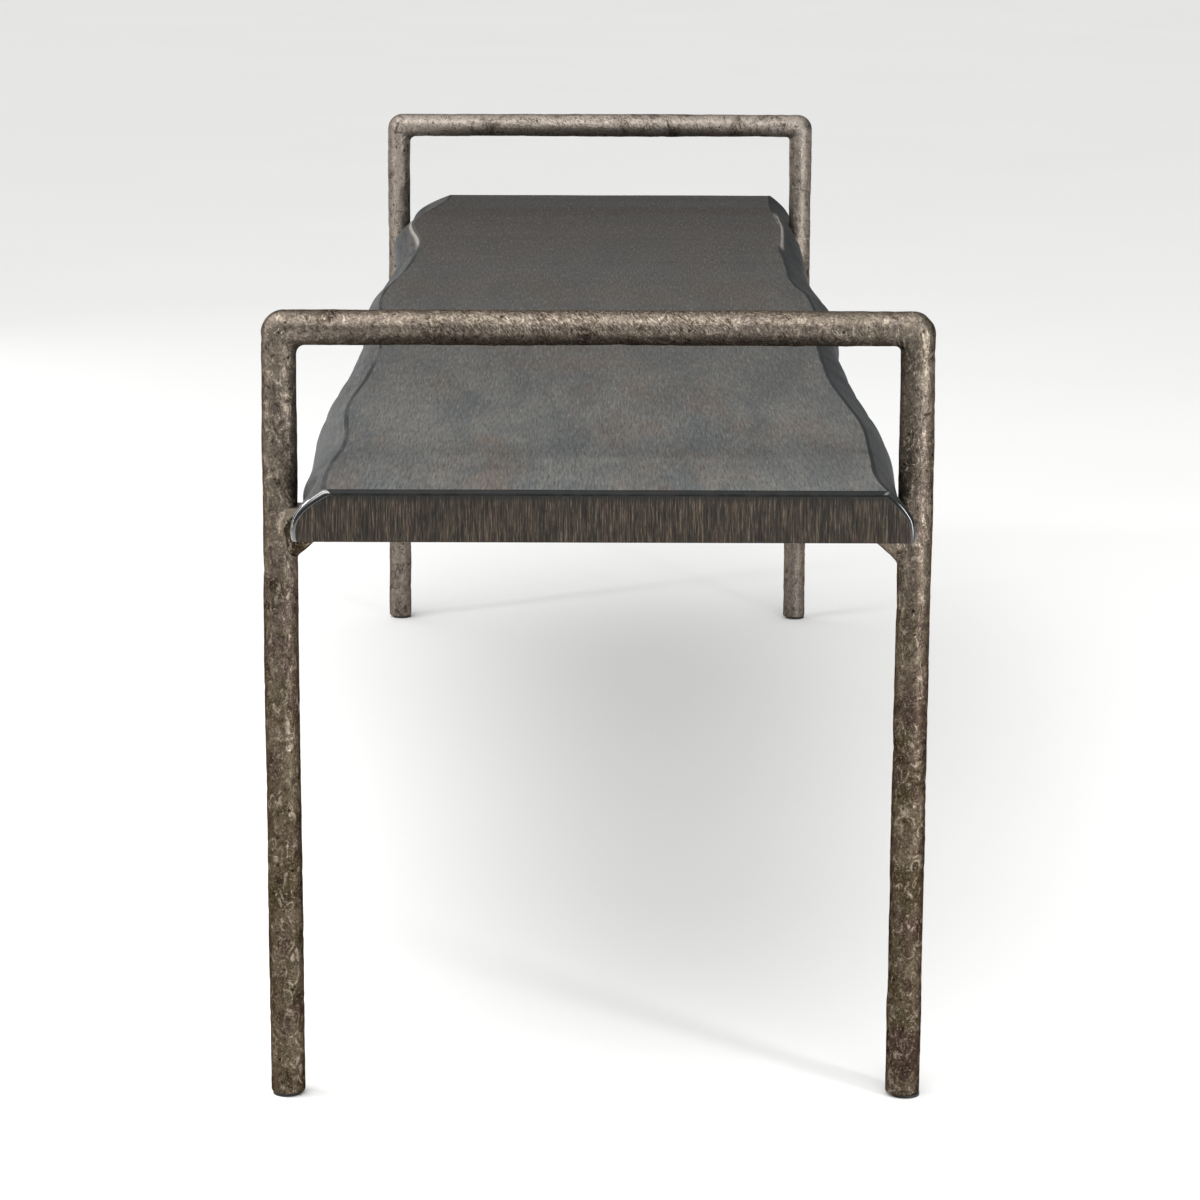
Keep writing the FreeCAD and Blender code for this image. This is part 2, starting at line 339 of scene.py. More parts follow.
# ---- wood ----------------------------------------------------------------------------------
def wood_face():
    """The lacquered top: fine fibres along the slab over warm and cool patches, with painted
    reflection bands across it and painted shade that darkens it away from the +X end.
    """
    look = Look("wood_face")
    patches = look.noise(look.scaled(5, 24, 24), detail=5, rough=0.62, twist=0.5)
    warm = look.noise(look.scaled(4, 12, 12), detail=5, rough=0.62, twist=0.4)
    fibres = look.noise(look.scaled(48, 820, 820), detail=3, rough=0.7)
    flecks = look.noise(look.scaled(120, 1100, 1100), detail=2, rough=0.6, twist=0.8)
    painted_reflection_bands = look.noise(look.scaled(11, 0.8, 0.8), detail=3, rough=0.55)

    colour = look.mix(look.span(patches, 0.34, 0.66), rgb(76, 80, 80), rgb(97, 96, 93))
    colour = look.mix(look.span(warm, 0.48, 0.66, 0, 0.55), colour, rgb(94, 80, 71))
    # painted shade: the top darkens away from the +X end, with a warm tint towards -X
    colour = look.mix(look.span(look.axis("X"), -0.9, 0.95, 0.90, 0), colour, rgb(60, 53, 48))
    colour = look.mix(look.span(look.axis("X"), 0.45, 0.88, 0.30, 0), colour, rgb(60, 59, 57))
    # painted reflection: soft darker bands across the top
    colour = look.mix(look.span(painted_reflection_bands, 0.38, 0.60, 0.0, 0.25), colour, rgb(72, 75, 75))
    colour = look.mix(look.span(fibres, 0.34, 0.54, 0.50, 0.0), colour, rgb(46, 44, 42))
    colour = look.mix(look.span(fibres, 0.54, 0.72, 0.0, 0.32), colour, rgb(134, 130, 124))
    colour = look.mix(look.span(flecks, 0.56, 0.68, 0.0, 0.45), colour, rgb(46, 43, 41))

    relief = look.bump(fibres, 0.05 * MM)
    relief = look.bump(flecks, 0.04 * MM, relief)
    look.set(Base_Color=colour, Normal=relief, Metallic=0.0, Coat_Weight=0.0)
    look.set(Roughness=look.span(patches, 0.3, 0.7, 0.56, 0.68), Specular_IOR_Level=0.12)
    return look.material


def wood_flank():
    """The live edge: lacquered blue-grey with long grain, painted shade along the crease, towards
    the base and on the +Y side, and a painted highlight along a stretch of the crease.
    """
    look = Look("wood_flank")
    grain = look.noise(look.scaled(8, 60, 150), detail=5, rough=0.6, twist=0.5)
    mottles = look.noise(look.scaled(60, 130, 190), detail=4, rough=0.65, twist=1.2)
    fibres = look.noise(look.scaled(48, 700, 700), detail=3, rough=0.7)
    patches = look.noise(look.scaled(10, 14, 30), detail=3)
    height = look.axis("Z")
    along = look.axis("X")

    colour = look.mix(look.span(grain, 0.35, 0.65), rgb(60, 63, 64), rgb(84, 84, 82))
    colour = look.mix(look.span(patches, 0.50, 0.72, 0, 0.5), colour, rgb(76, 68, 62))
    colour = look.mix(look.span(mottles, 0.32, 0.48, 0.55, 0.0), colour, rgb(38, 40, 41))
    colour = look.mix(look.span(fibres, 0.34, 0.54, 0.50, 0.0), colour, rgb(36, 35, 34))
    colour = look.mix(look.span(fibres, 0.54, 0.72, 0.0, 0.34), colour, rgb(124, 121, 116))
    # painted shade: the flank darkens towards its base
    low = look.span(height, SEAT_BASE + 4 * MM, SEAT_TOP - 5 * MM, 0.72, 0.0)
    colour = look.mix(low, colour, rgb(32, 34, 35))
    # painted shade: the +Y (back) flank is darker, as the side turned from the light
    painted_shade_back = look.span(look.axis("Y"), -0.1, 0.1, 0.0, 0.72)
    colour = look.mix(painted_shade_back, colour, rgb(24, 27, 30))

    # painted highlight: a pale line just under the crease over part of the -X half
    painted_crease_highlight = look.times(
        look.span(along, -0.76, -0.70),
        look.span(along, -0.46, -0.40, 1, 0),
        look.span(grain, 0.30, 0.60, 0.25, 0.80),
        look.span(height, SEAT_TOP - 3.4 * MM, SEAT_TOP - 1.4 * MM),
    )
    colour = look.mix(painted_crease_highlight, colour, rgb(160, 156, 149))
    # painted shade: a thin dark line along the crease
    painted_crease_shade = look.times(
        look.span(height, SEAT_TOP - 1.0 * MM, SEAT_TOP - 0.4 * MM),
        look.span(patches, 0.30, 0.50, 0.30, 0.80),
    )
    colour = look.mix(painted_crease_shade, colour, rgb(26, 28, 30))

    relief = look.bump(grain, 0.20 * MM)
    relief = look.bump(mottles, 0.12 * MM, relief)
    relief = look.bump(fibres, 0.06 * MM, relief)
    look.set(Base_Color=colour, Normal=relief, Metallic=0.0, Coat_Weight=0.06, Coat_Roughness=0.2)
    look.set(Roughness=look.span(grain, 0.3, 0.7, 0.50, 0.62), Specular_IOR_Level=0.14)
    return look.material


def wood_end():
    """The sawn end: browner, with fine upright streaks and painted shade along the top border."""
    look = Look("wood_end")
    streaks = look.noise(look.scaled(1200, 1200, 64), detail=4, rough=0.7)
    broad = look.noise(look.scaled(70, 70, 34), detail=4, rough=0.6)
    warm = look.noise(look.scaled(46, 46, 40), detail=3, twist=0.6)
    pores = look.noise(look.scaled(1300, 1300, 200), detail=2)
    colour = look.mix(look.span(broad, 0.34, 0.66), rgb(36, 31, 25), rgb(53, 46, 37))
    colour = look.mix(look.span(warm, 0.46, 0.62, 0, 0.50), colour, rgb(56, 43, 37))
    colour = look.mix(look.span(streaks, 0.38, 0.53, 0.90, 0.0), colour, rgb(13, 11, 9))
    colour = look.mix(look.span(streaks, 0.53, 0.66, 0.0, 0.52), colour, rgb(106, 94, 79))
    colour = look.mix(look.span(pores, 0.56, 0.66, 0.0, 0.6), colour, rgb(13, 11, 9))
    # painted shade: the end face darkens just under its top rounding
    shade = look.span(look.axis("Z"), SEAT_TOP - 9 * MM, SEAT_TOP - 3.5 * MM, 0.0, 0.75)
    colour = look.mix(shade, colour, rgb(20, 21, 19))
    relief = look.bump(streaks, 0.22 * MM)
    relief = look.bump(pores, 0.08 * MM, relief)
    look.set(Base_Color=colour, Normal=relief, Metallic=0.0, Coat_Weight=0.0)
    look.set(Roughness=look.span(streaks, 0.3, 0.7, 0.66, 0.52), Specular_IOR_Level=0.22)
    return look.material


def wood_arris(name, coat, coat_roughness, coat_ior):
    """The rounded rim of the sawn end: glossy thick lacquer, its near-black colour painted shade and
    painted reflection.
    """
    look = Look(name)
    grain = look.noise(look.scaled(90, 90, 90), detail=3)
    # painted shade and reflection: the rim's near-black colour; its gloss comes from the coat
    colour = look.mix(look.span(grain, 0.35, 0.65), rgb(15, 17, 17), rgb(26, 27, 26))
    look.set(Base_Color=colour, Normal=look.bump(grain, 0.03 * MM), Metallic=0.0)
    look.set(Roughness=look.span(grain, 0.3, 0.7, 0.45, 0.58), Specular_IOR_Level=0.12)
    glossy = look.span(look.axis("Y"), -0.1, 0.1, coat, 0.35 * coat)
    look.set(Coat_Weight=glossy, Coat_Roughness=coat_roughness, Coat_IOR=coat_ior)
    return look.material


# ---- metal ---------------------------------------------------------------------------------
CAST_EDGE_TINT = (0.30, 0.26, 0.22, 1.0)      # how much of a glancing reflection the metal keeps
WEAR_FROM = 0.20          # height from which the metal is rubbed more and more, up to the rail


def cast_patina(look, tint, blotch, sand, wear, rubbed):
    """The metal's colour: brown, nearer to the rubbed colour with wear, blotched and sandy."""
    broad = look.noise(look.scaled(34, 34, 22), detail=5, rough=0.66, twist=1.0)
    colour = look.mix(look.span(tint, 0.42, 0.58), rgb(62, 46, 40), rgb(65, 56, 38))
    colour = look.mix(look.span(broad, 0.44, 0.62, 0, 0.85), colour, rgb(90, 80, 66))
    colour = look.mix(wear, colour, rubbed)
    colour = look.mix(look.span(broad, 0.30, 0.46, 0.75, 0), colour, rgb(42, 32, 24))
    colour = look.mix(look.span(blotch, 0.53, 0.68, 0, 0.60), colour, rgb(160, 148, 134))
    colour = look.mix(look.span(blotch, 0.30, 0.47, 0.75, 0), colour, rgb(34, 26, 20))
    colour = look.mix(look.span(sand, 0.32, 0.50, 0.60, 0), colour, rgb(28, 21, 15))
    return look.mix(look.span(sand, 0.56, 0.72, 0, 0.42), colour, rgb(200, 182, 158))


def cast_wrinkles(look, blotch, height):
    """Fine curling ridges, in patches, strongest on the upper legs."""
    creased = look.noise(look.scaled(130, 130, 95), detail=2, rough=0.55, twist=1.8)
    from_crease = look.maths("ABSOLUTE", look.maths("SUBTRACT", creased, 0.5))
    return look.times(
        look.span(from_crease, 0.005, 0.024, 1, 0),
        look.span(blotch, 0.49, 0.60),
        look.span(height, 0.30, 0.48, 0.25, 1),
        look.span(height, RAIL_Z - 24 * MM, RAIL_Z, 1, 0.3),
    )


def cast_pits(look, tint):
    """Small round pits, in patches."""
    pits = look.span(look.cells(look.place, 120), 0.08, 0.20, 1, 0)
    return look.times(pits, look.span(tint, 0.50, 0.58))


def cast_scores(look, tint, blotch):
    """Thin pale arcs, in patches."""
    ring = look.cells(look.scaled(46, 46, 62), 1.0)
    return look.times(
        look.span(ring, 0.41, 0.43),
        look.span(ring, 0.43, 0.45, 1, 0),
        look.span(tint, 0.54, 0.60),
        look.span(blotch, 0.50, 0.56),
    )


def cast_hatch(look, height):
    """Slanting hammer strokes, and where they are: along the top of the rail."""
    turned = look.add("ShaderNodeMapping", {"Vector": look.place, "Rotation": (math.pi / 4, 0, 0)})
    stretch = {"Vector": turned.outputs[0], "Scale": (380, 250, 960)}
    strokes = look.noise(look.add("ShaderNodeMapping", stretch).outputs[0], detail=3, rough=0.6)
    from_middle = look.maths("ABSOLUTE", look.axis("Y"))
    hatched = look.times(
        look.span(height, RAIL_Z - 6 * MM, RAIL_Z, 0, 1),
        look.span(from_middle, 0.03, 0.19, 1, 0.15),
    )
    return strokes, hatched


def cast_metal(name, wear_low, wear_high, rubbed):
    """Aged bronze over cast iron: sandy, pitted and scored, rubbed to that colour with height."""
    look = Look(name)
    tint = look.noise(look.scaled(46, 46, 26), detail=4, rough=0.6, twist=0.8)
    blotch = look.noise(look.scaled(140, 140, 100), detail=4, rough=0.66, twist=1.4)
    sand = look.noise(look.scaled(620, 620, 620), detail=3, rough=0.72)
    height = look.axis("Z")
    wear = look.span(height, WEAR_FROM, RAIL_Z, wear_low, wear_high)
    wrinkles = cast_wrinkles(look, blotch, height)
    pits = cast_pits(look, tint)
    scores = cast_scores(look, tint, blotch)
    strokes, hatched = cast_hatch(look, height)

    colour = cast_patina(look, tint, blotch, sand, wear, rubbed)
    colour = look.mix(look.times(wrinkles, 0.60), colour, rgb(196, 183, 165))
    colour = look.mix(look.times(pits, 0.85), colour, rgb(16, 12, 9))
    colour = look.mix(look.times(scores, 0.45), colour, rgb(200, 186, 168))
    hollows = look.times(hatched, look.span(strokes, 0.36, 0.50, 0.60, 0))
    colour = look.mix(hollows, colour, rgb(48, 38, 29))
    ridges = look.times(hatched, look.span(strokes, 0.54, 0.66, 0, 0.35))
    colour = look.mix(ridges, colour, rgb(196, 184, 168))

    relief = look.bump(blotch, 0.75 * MM)
    relief = look.bump(sand, 0.13 * MM, relief)
    relief = look.bump(wrinkles, 0.10 * MM, relief)
    relief = look.bump(look.times(strokes, hatched), 0.32 * MM, relief)
    relief = look.bump(look.maths("SUBTRACT", scores, pits), 0.15 * MM, relief)
    look.set(Base_Color=colour, Normal=relief, Metallic=0.96, Specular_IOR_Level=0.3)
    look.set(Roughness=look.span(blotch, 0.3, 0.7, 0.50, 0.34), Specular_Tint=CAST_EDGE_TINT)
    return look.material


def bar_metal():
    """The flat bars: rolled steel toned to the hoops, with faint lengthwise draw marks."""
    look = Look("bar_metal")
    marks = look.noise(look.scaled(900, 16, 900), detail=3)
    broad = look.noise(look.scaled(30, 18, 30), detail=4)
    colour = look.mix(look.span(broad, 0.35, 0.65), rgb(88, 78, 68), rgb(122, 111, 99))
    colour = look.mix(look.span(marks, 0.35, 0.60, 0.35, 0), colour, rgb(62, 54, 46))
    look.set(Base_Color=colour, Normal=look.bump(marks, 0.05 * MM), Metallic=0.85)
    look.set(Roughness=look.span(broad, 0.3, 0.7, 0.34, 0.50))
    return look.material


def machined(name, dark, light):
    """Turned metal for screws, washers and inserts, slightly tarnished."""
    look = Look(name)
    turning = look.noise(look.scaled(300, 300, 2600), detail=2)
    stain = look.noise(look.scaled(260, 260, 260), detail=4)
    colour = look.mix(look.span(stain, 0.35, 0.65), dark, light)
    look.set(Base_Color=colour, Normal=look.bump(turning, 0.02 * MM), Metallic=0.95)
    look.set(Roughness=look.span(stain, 0.3, 0.7, 0.44, 0.28))
    return look.material


def glide_nylon():
    """Black nylon, scuffed grey."""
    look = Look("glide_nylon")
    grain = look.noise(look.scaled(900, 900, 900), detail=3)
    scuffs = look.noise(look.scaled(120, 120, 120), detail=4, twist=1.0)
    colour = look.mix(look.span(scuffs, 0.4, 0.7), rgb(24, 24, 25), rgb(48, 47, 46))
    look.set(Base_Color=colour, Normal=look.bump(grain, 0.05 * MM), Metallic=0.0)
    look.set(Roughness=look.span(scuffs, 0.3, 0.7, 0.48, 0.66))
    return look.material


# ---- slab ----------------------------------------------------------------------------------
FACE, FLANK, END, RIM_TOP, RIM_SIDE = range(5)         # the slab's materials, in order


def edge_line(z, side):
    """The slab's edge at height z as (places along X, distances from the middle), from the CAD.

    Places beside a leg are left out, because there the slab is notched.
    """
    mesh = frame["nodes"]["seat_slab"].data
    points = np.array([v.co[:] for v in mesh.vertices])
    on_line = (abs(points[:, 2] - z) < LINE_NEAR) & (points[:, 1] * side > LINE_FROM)
    clear = abs(abs(points[:, 0]) - HOOP_X) > BESIDE_LEG
    points = points[on_line & clear]
    points = points[np.argsort(points[:, 0])]
    fine = np.arange(-SEAT_END, SEAT_END + MM, MM)
    reach = np.interp(fine, points[:, 0], abs(points[:, 1]))
    half = SMOOTH_HALF
    kernel = np.exp(-0.5 * (np.arange(-half, half + 1) / SMOOTH_LENGTH) ** 2)
    padded = np.pad(reach, half, mode="edge")
    return fine, np.convolve(padded, kernel / kernel.sum(), mode="valid")


def stations():
    """Places along the slab, close together over the rounded ends, with the rounding there."""
    turn = np.linspace(0, math.pi / 2, END_ROUND_STEPS)
    near_end = SEAT_END - END_ROUND + END_ROUND * np.sin(turn)
    inset = END_ROUND * (1 - np.cos(turn))
    count = round(2 * (SEAT_END - END_ROUND) / STATION_STEP)
    middle = np.linspace(-SEAT_END + END_ROUND, SEAT_END - END_ROUND, count)[1:-1]
    xs = np.concatenate([-near_end[::-1], middle, near_end])
    insets = np.concatenate([inset[::-1], np.zeros(len(middle)), inset])
    return xs, insets


def flank_lines(xs, along, side, seed):
    """How far the top crease and the widest line are from the middle, at each station."""
    line_x, top = edge_line(SEAT_TOP, side)
    _, widest = edge_line(WIDEST_Z, side)
    kinks = abs(lumps(along, 150 * MM, seed)) + 0.35 * abs(lumps(along, 66 * MM, seed + 3))
    top_y = np.interp(xs, line_x, top) + CREASE_KINK * (0.35 - kinks)
    waves = abs(lumps(along, 90 * MM, seed + 5))
    wide_y = np.interp(xs, line_x, widest) + WIDEST_KINK * (waves - 0.30)
    if side == SIDES["front"]:
        wide_y -= PINCH_DEPTH * np.exp(-((xs - PINCH_X) / PINCH_LENGTH) ** 2)
    return top_y, wide_y


def flank(xs, insets, side):
    """One live edge as points [station, down the side, (y, z)], from the crease to the base."""
    seed = FLANK_SEED + side
    along = np.stack([xs, np.zeros_like(xs), np.zeros_like(xs)], axis=-1)
    top_y, wide_y = flank_lines(xs, along, side, seed)
    down = np.linspace(0, 1, FLANK_COUNT) ** 1.25
    power = 2.0 + 0.5 * lumps(along, 210 * MM, seed + 7)
    swell = 1 - (1 - down[None, :]) ** power[:, None]
    y = top_y[:, None] + (wide_y - top_y)[:, None] * swell
    z = np.broadcast_to(SEAT_TOP + (WIDEST_Z - SEAT_TOP) * down, y.shape).copy()

    place = np.stack([np.broadcast_to(xs[:, None], y.shape), side * y, z], axis=-1)
    facets = abs(lumps(place, np.array([250, 400, 46]) * MM, seed + 11))
    facets += 0.25 * lumps(place, np.array([105, 300, 24]) * MM, seed + 13)
    y += FACET_DEPTH * (0.30 - facets) * np.sin(math.pi * down) ** 0.7

    tuck_y = y[:, -1:] - np.array(TUCK_IN) * MM
    tuck_z = np.broadcast_to(WIDEST_Z - np.array(TUCK_DOWN) * MM, tuck_y.shape)
    y = np.concatenate([y, tuck_y], axis=1)
    z = np.concatenate([z, tuck_z], axis=1)

    beside = abs(abs(xs) - HOOP_X)
    leg_way = LEG_Y - np.sqrt(np.clip(NOTCH_R ** 2 - beside ** 2, 0, None))
    leg_way[beside >= NOTCH_R] = np.inf
    y = np.minimum(y, leg_way[:, None]) - insets[:, None]
    z = z - insets[:, None] * (z - SEAT_BASE) / (SEAT_TOP - SEAT_BASE)
    return side * y, z


def across(first_y, last_y, z, xs, relief):
    """Inner points of the top or base, from one crease to the other, close at both creases."""
    share = np.linspace(0, 1, ACROSS_COUNT + 2)[1:-1]
    share = share - 0.09 * np.sin(2 * math.pi * share)
    y = first_y[:, None] + (last_y - first_y)[:, None] * share
    place = np.stack([np.broadcast_to(xs[:, None], y.shape), y, np.zeros_like(y)], axis=-1)
    swell = relief * lumps(place, np.array([170, 60, 100]) * MM, TOP_SEED)
    return y, z[:, None] + swell * np.sin(math.pi * share) ** 0.5


def end_cap(ring, flank_rows):
    """Inner points that fill one end, and rows of numbers that make a grid with the ring's points.

    The ring runs across the top, down the right flank, back across the base and up the left
    flank. The inner points are numbered on from the ring's.
    """
    around = len(ring)
    right_start = ACROSS_COUNT
    base_start = right_start + flank_rows
    left_start = base_start + ACROSS_COUNT
    right = ring[right_start:base_start]
    left = ring[left_start:][::-1]
    share = np.linspace(0, 1, ACROSS_COUNT + 2)[1:-1, None]
    inner = []
    rows = [[around - 1, *range(ACROSS_COUNT), right_start]]
    for r in range(1, flank_rows - 1):
        numbers = range(around + len(inner), around + len(inner) + ACROSS_COUNT)
        rows.append([around - 1 - r, *numbers, right_start + r])
        inner.extend(left[r] * (1 - share) + right[r] * share)
    rows.append([left_start, *range(left_start - 1, base_start - 1, -1), base_start - 1])
    return np.array(inner), rows


def slab_rings():
    """The slab's skin as points [station, around, xyz], and how many are down each flank."""
    xs, insets = stations()
    right_y, right_z = flank(xs, insets, 1)
    left_y, left_z = flank(xs, insets, -1)
    top_y, top_z = across(left_y[:, 0], right_y[:, 0], right_z[:, 0], xs, TOP_RELIEF)
    base_y, base_z = across(right_y[:, -1], left_y[:, -1], right_z[:, -1], xs, 0.0)
    y = np.concatenate([top_y, right_y, base_y, left_y[:, ::-1]], axis=1)
    z = np.concatenate([top_z, right_z, base_z, left_z[:, ::-1]], axis=1)
    x = np.broadcast_to(xs[:, None], y.shape)
    return np.stack([x, y, z], axis=-1), right_y.shape[1]


def skin_slots(count, around, flank_rows):
    """The material number of each face of the slab's skin, ring by ring."""
    on_flank = np.zeros(around, bool)
    on_flank[ACROSS_COUNT - 1:ACROSS_COUNT + flank_rows] = True
    on_flank[2 * ACROSS_COUNT + flank_rows - 1:] = True
    slots = []
    for r in range(count - 1):
        rounding = r < END_ROUND_STEPS - 1 or r >= count - END_ROUND_STEPS
        face, flanked = (RIM_TOP, RIM_SIDE) if rounding else (FACE, FLANK)
        slots.extend(flanked if on else face for on in on_flank)
    return slots


def slab():
    """The slab as one closed mesh: rings of points along X, and a grid over each end."""
    rings, flank_rows = slab_rings()
    count, around = rings.shape[:2]
    points = rings.reshape(-1, 3)
    faces = tube_faces(count, around)
    slots = skin_slots(count, around, flank_rows)
    for start in (0, (count - 1) * around):
        inner, rows = end_cap(points[start:start + around], flank_rows)
        shift = len(points) - around
        points = np.concatenate([points, inner])
        rows = [[i + (start if i < around else shift) for i in row] for row in rows]
        for upper, lower in zip(rows, rows[1:]):
            for c in range(len(upper) - 1):
                faces.append((upper[c], upper[c + 1], lower[c + 1], lower[c]))
                slots.append(END)
    woods = [
        wood_face(),
        wood_flank(),
        wood_end(),
        wood_arris("wood_rim_top", coat=0.06, coat_roughness=0.4, coat_ior=1.5),
        wood_arris("wood_rim_side", coat=1.0, coat_roughness=0.07, coat_ior=2.3),
    ]
    piece = mesh_object("live_edge_slab", points, faces, woods, slots)
    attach(piece, "root")
    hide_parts("seat_slab")


# ---- hoops ---------------------------------------------------------------------------------
def corner_reach(turn, inner_r):
    """How far a corner's outside is from its pivot, as the outline turns from leg to rail."""
    reach = inner_r + 2 * ROD_R
    cos, sin = math.cos(turn), math.sin(turn)
    out = reach / max(cos, sin)
    middle = reach - OUTER_CORNER_R
    if out * min(cos, sin) > middle:
        towards = middle * (cos + sin)
        out = towards + math.sqrt(towards ** 2 - 2 * middle ** 2 + OUTER_CORNER_R ** 2)
    return out


def half_hoop(inner_r):
    """Sections of a half hoop, foot to mid rail, on the side where y is positive.

    Each is (inner point, outer point) in (y, z) and how far the foot's edge draws it in.
    """
    pivot = np.array([LEG_FACE - inner_r, RAIL_Z - ROD_R - inner_r])
    inner_y, outer_y = LEG_FACE, LEG_FACE + 2 * ROD_R
    turn = np.linspace(0, math.pi / 2, FOOT_EDGE_STEPS)
    foot_zs = FOOT_Z + FOOT_EDGE_R * (1 - np.cos(turn))
    foot_insets = FOOT_EDGE_R * (1 - np.sin(turn))
    sections = []
    for z, inset in zip(foot_zs, foot_insets):
        sections.append(((inner_y + inset, z), (outer_y - inset, z), inset))
    count = round((pivot[1] - foot_zs[-1]) / ROD_STEP)
    for z in np.linspace(foot_zs[-1], pivot[1], count)[1:-1]:
        sections.append(((inner_y, z), (outer_y, z), 0.0))
    for turn in np.linspace(0, math.pi / 2, 2 * CORNER_STEPS + 1):
        towards = np.array([math.cos(turn), math.sin(turn)])
        inner = pivot + inner_r * towards
        outer = pivot + corner_reach(turn, inner_r) * towards
        sections.append((tuple(inner), tuple(outer), 0.0))
    mitre = len(sections) - 1 - CORNER_STEPS
    count = round(pivot[0] / ROD_STEP)
    for y in np.linspace(pivot[0], 0, count)[1:]:
        sections.append(((y, RAIL_Z - ROD_R), (y, RAIL_Z + ROD_R), 0.0))
    return sections, mitre


def hoop_grid(hoop_x):
    """Points [section, around, xyz] of a whole hoop, front foot to back foot, and its mitres."""
    front, front_mitre = half_hoop(INNER_CORNER_R["front"])
    back, back_mitre = half_hoop(INNER_CORNER_R["back"])
    front = [((-i[0], i[1]), (-o[0], o[1]), inset) for i, o, inset in front]
    sections = front + back[::-1][1:]
    inner = np.array([s[0] for s in sections])
    outer = np.array([s[1] for s in sections])
    inset = np.array([s[2] for s in sections])
    middle = (inner + outer) / 2
    half_out = (outer - inner) / 2
    around = np.linspace(0, 2 * math.pi, ROUND_COUNT, endpoint=False)
    plane = middle[:, None, :] + half_out[:, None, :] * np.cos(around)[None, :, None]
    x = hoop_x + (ROD_R - inset)[:, None] * np.sin(around)[None, :]
    grid = np.concatenate([x[..., None], plane], axis=-1)
    return grid, (front_mitre, len(sections) - 1 - back_mitre)


def cast_relief(grid, normals, seed):
    """The grid moved in and out by the lumps, hammering and dents of a rough casting."""
    swell = 0.50 * lumps(grid, 58 * MM, seed) + 0.26 * lumps(grid, 21 * MM, seed + 1)
    swell += 0.17 * lumps(grid, 8.5 * MM, seed + 2) + 0.09 * lumps(grid, 3.6 * MM, seed + 4)
    on_rail = grid[..., 2] > RAIL_Z - 20 * MM
    hammered = np.clip(1 - abs(grid[..., 1]) / HAMMERED_Y, 0, 1) * on_rail
    swell -= 0.42 * hammered * dents(grid, 9 * MM, seed + 5, 0.7)
    swell -= 0.55 * dents(grid, np.array([13, 13, 8]) * MM, seed + 9, 0.22)
    calm = np.clip((grid[..., 2] - FOOT_Z) / FOOT_CALM, 0, 1)
    return grid + normals * (swell * calm * MM)[..., None]


def crooked(grid, leans, seed):
    """The grid bent off true: a slow wander, and each leg leaning a little towards its foot."""
    middle = grid.mean(axis=1)
    wander = np.stack([lumps(middle, 190 * MM, seed), lumps(middle, 150 * MM, seed + 2)], axis=-1)
    low = np.clip(1 - middle[:, 2] / LEAN_HEIGHT, 0, 1)
    lean = np.where(middle[:, 1] < 0, leans[0], leans[1]) * low
    bent = grid.copy()
    bent[..., 0] += (0.7 * MM * wander[:, 0])[:, None]
    bent[..., 1] += (0.6 * MM * wander[:, 1] + lean)[:, None]
    return bent


def rod_piece(name, grid, normals, material, node):
    """A closed length of the hoop, cut square to its own sections."""
    rings, around = grid.shape[:2]
    ends = np.array([grid[0].mean(axis=0), grid[-1].mean(axis=0)])
    points = np.concatenate([grid.reshape(-1, 3), ends])
    cap_normals = np.array([normals[0].mean(axis=0), normals[-1].mean(axis=0)]) + (0, 0, 1e-6)
    cap_normals /= np.linalg.norm(cap_normals, axis=1, keepdims=True)
    vertex_normals = np.concatenate([normals.reshape(-1, 3), cap_normals])
    faces = tube_faces(rings, around) + tube_caps(rings, around)
    piece = mesh_object(name, points, faces, [material], normals=vertex_normals)
    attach(piece, "root")
    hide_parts(node)


def hoop(name, sign, material, leans, seed):
    """Front leg, rail and back leg of one hoop, cut from one surface so that they run on."""
    grid, (first, second) = hoop_grid(sign * HOOP_X)
    grid = cast_relief(grid, grid_normals(grid), seed)
    grid = crooked(grid, leans, seed + 30)
    normals = grid_normals(grid)
    spans = {
        "front_leg": slice(0, first + 1),
        "top_rail": slice(first, second + 1),
        "back_leg": slice(second, len(grid)),
    }
    for part, span in spans.items():
        node = f"{name}_{part}"
        rod_piece(f"{node}_cast", grid[span], normals[span], material, node)


# ---- knees ---------------------------------------------------------------------------------
def knee_grid(sign, side, side_name):
    """Points [slice, around, xyz] of upright slices, from the middle of the leg to a thin tip."""
    reach = (LEG_FACE - knee_low.y) * KNEE_SHARE[side_name]
    base, top = knee_low.z + KNEE_RAISED, knee_high.z
    width = (knee_high.x - knee_low.x) / 2
    fillet = KNEE_FILLET[side_name]
    around = np.linspace(0, 2 * math.pi, KNEE_ROUND_COUNT, endpoint=False)
    cos, sin = np.cos(around), np.sin(around)
    square_x = np.sign(cos) * abs(cos) ** KNEE_SQUARE[0]
    square_z = np.sign(sin) * abs(sin) ** KNEE_SQUARE[1]
    in_leg = np.linspace(-ROD_R, 0, KNEE_SLICES_IN_LEG, endpoint=False)
    slices = []
    for s in np.concatenate([in_leg, np.linspace(0, reach, KNEE_SLICES)]):
        share = min(max(s / reach, 0), 1)
        rise = share - KNEE_BULGE[side_name] * math.sin(math.pi * share)
        droop = fillet * math.exp(-max(s, 0) / (0.8 * fillet))
        under = base + (top - KNEE_TIP - base) * rise - droop
        half_width = width - KNEE_TAPER * abs(s) / reach
        x = sign * HOOP_X + half_width * square_x
        y = np.full_like(cos, side * (LEG_FACE - s))
        z = (top + under) / 2 + (top - under) / 2 * square_z
        slices.append(np.stack([x, y, z], axis=-1))
    return np.array(slices)


